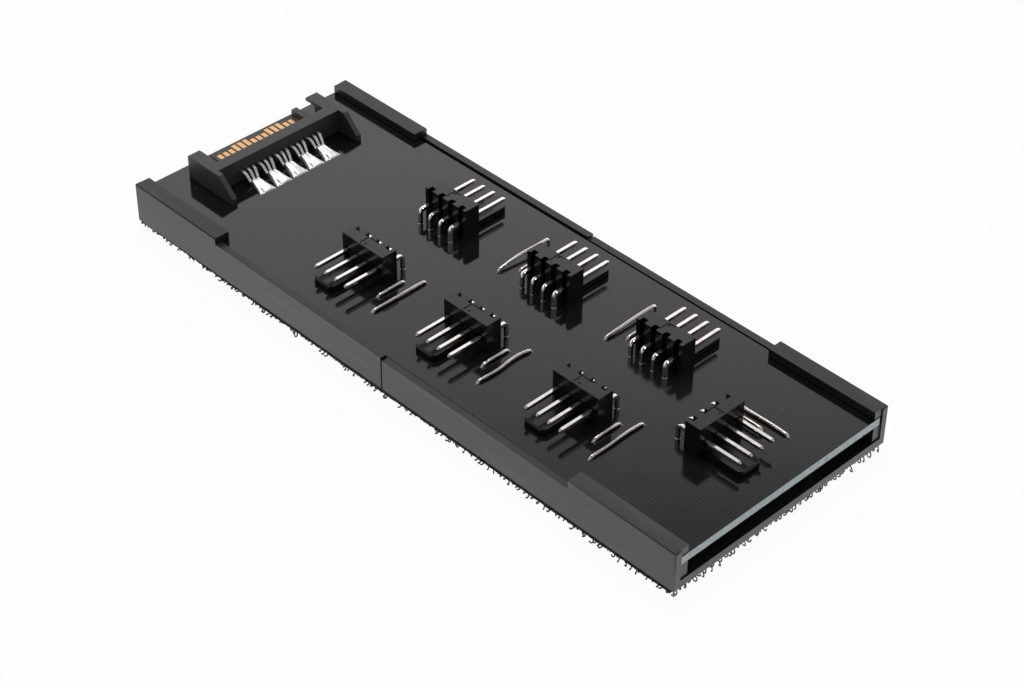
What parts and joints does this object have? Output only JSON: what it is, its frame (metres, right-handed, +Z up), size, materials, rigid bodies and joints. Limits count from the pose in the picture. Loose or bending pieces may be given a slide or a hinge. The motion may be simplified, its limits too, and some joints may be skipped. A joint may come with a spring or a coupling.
{
  "type": "pc fan hub",
  "caption": "Flat fan hub for a computer case: board in a shallow tray with right-angle fan headers, wire links and a drive power plug, on hook tape.",
  "frame": {"origin": "under the middle of the tray, at the tips of the hook tape", "axes": "+X along the tray from the power plug to the open end, +Y across it to the far header row, +Z up"},
  "size_m": [0.131, 0.0494, 0.0139],
  "materials": {
    "tray_plastic": "satin",
    "board": "gloss",
    "header_plastic": "satin",
    "plug_plastic": "satin",
    "tinned_metal": "bright",
    "contact_plating": "bright",
    "solder": "satin",
    "hook_tape": "matte"
  },
  "bodies": {
    "root": {"circuit_board": "board", "fan_header_1_body": "header_plastic", "fan_header_1_long_link": "tinned_metal", "fan_header_1_pins": "tinned_metal", "fan_header_1_short_link": "tinned_metal", "fan_header_1_solder": "solder", "fan_header_2_body": "header_plastic", "fan_header_2_long_link": "tinned_metal", "fan_header_2_pins": "tinned_metal", "fan_header_2_short_link": "tinned_metal", "fan_header_2_solder": "solder", "fan_header_3_body": "header_plastic", "fan_header_3_long_link": "tinned_metal", "fan_header_3_pins": "tinned_metal", "fan_header_3_short_link": "tinned_metal", "fan_header_3_solder": "solder", "fan_header_4_body": "header_plastic", "fan_header_4_pins": "tinned_metal", "fan_header_4_solder": "solder", "fan_header_5_body": "header_plastic", "fan_header_5_long_link": "tinned_metal", "fan_header_5_pins": "tinned_metal", "fan_header_5_short_link": "tinned_metal", "fan_header_5_solder": "solder", "fan_header_6_body": "header_plastic", "fan_header_6_long_link": "tinned_metal", "fan_header_6_pins": "tinned_metal", "fan_header_6_short_link": "tinned_metal", "fan_header_6_solder": "solder", "fan_header_7_body": "header_plastic", "fan_header_7_long_link": "tinned_metal", "fan_header_7_pins": "tinned_metal", "fan_header_7_short_link": "tinned_metal", "fan_header_7_solder": "solder", "hook_tape": "hook_tape", "power_plug_contacts": "contact_plating", "power_plug_housing": "plug_plastic", "power_plug_solder": "solder", "tray_open_half": "tray_plastic", "tray_plug_half": "tray_plastic"}
  },
  "joints": []
}
